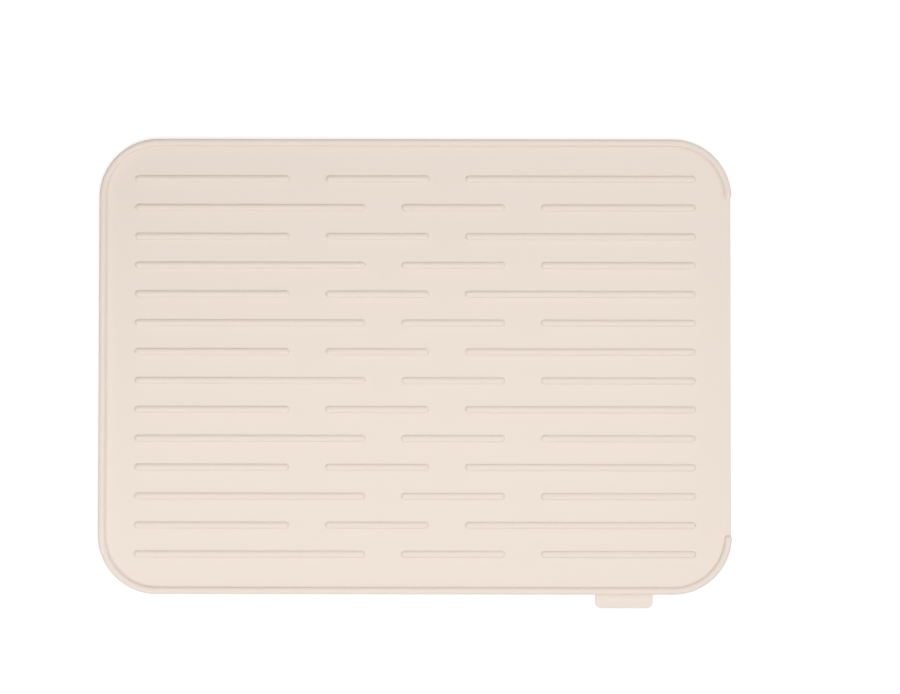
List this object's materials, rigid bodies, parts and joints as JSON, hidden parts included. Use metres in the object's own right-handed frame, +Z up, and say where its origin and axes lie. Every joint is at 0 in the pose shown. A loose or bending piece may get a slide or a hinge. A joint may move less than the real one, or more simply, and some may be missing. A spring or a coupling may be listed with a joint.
{
  "type": "silicone dish drying mat",
  "caption": "Flat ribbed silicone mat with a raised rim on three sides, an open drain edge and a small grip tab.",
  "frame": {"origin": "on the underside, at the middle of the mat's outline without its tab", "axes": "+X along the ribs to the open drain edge, +Y away from the tab's side, +Z up out of the ribbed face"},
  "size_m": [0.4449, 0.3297, 0.0048],
  "materials": {
    "silicone": "matte"
  },
  "bodies": {
    "mat": {"drain_sheet": "silicone", "rim_bead": "silicone", "rib_01_left": "silicone", "rib_01_middle": "silicone", "rib_01_right": "silicone", "rib_02_left": "silicone", "rib_02_middle": "silicone", "rib_02_right": "silicone", "rib_03_left": "silicone", "rib_03_middle": "silicone", "rib_03_right": "silicone", "rib_04_left": "silicone", "rib_04_middle": "silicone", "rib_04_right": "silicone", "rib_05_left": "silicone", "rib_05_middle": "silicone", "rib_05_right": "silicone", "rib_06_left": "silicone", "rib_06_middle": "silicone", "rib_06_right": "silicone", "rib_07_left": "silicone", "rib_07_middle": "silicone", "rib_07_right": "silicone", "rib_08_left": "silicone", "rib_08_middle": "silicone", "rib_08_right": "silicone", "rib_09_left": "silicone", "rib_09_middle": "silicone", "rib_09_right": "silicone", "rib_10_left": "silicone", "rib_10_middle": "silicone", "rib_10_right": "silicone", "rib_11_left": "silicone", "rib_11_middle": "silicone", "rib_11_right": "silicone", "rib_12_left": "silicone", "rib_12_middle": "silicone", "rib_12_right": "silicone", "rib_13_left": "silicone", "rib_13_middle": "silicone", "rib_13_right": "silicone", "rib_14_left": "silicone", "rib_14_middle": "silicone", "rib_14_right": "silicone"},
    "tab": {"grip_tab": "silicone"}
  },
  "joints": [
    {"name": "tab_flex", "type": "hinge", "parent": "mat", "child": "tab", "pos_m": [0.1468, -0.1613, 0.001], "axis": [-1, 0, 0], "range_deg": [0, 80], "stiffness_Nm_per_rad": 0.01}
  ]
}
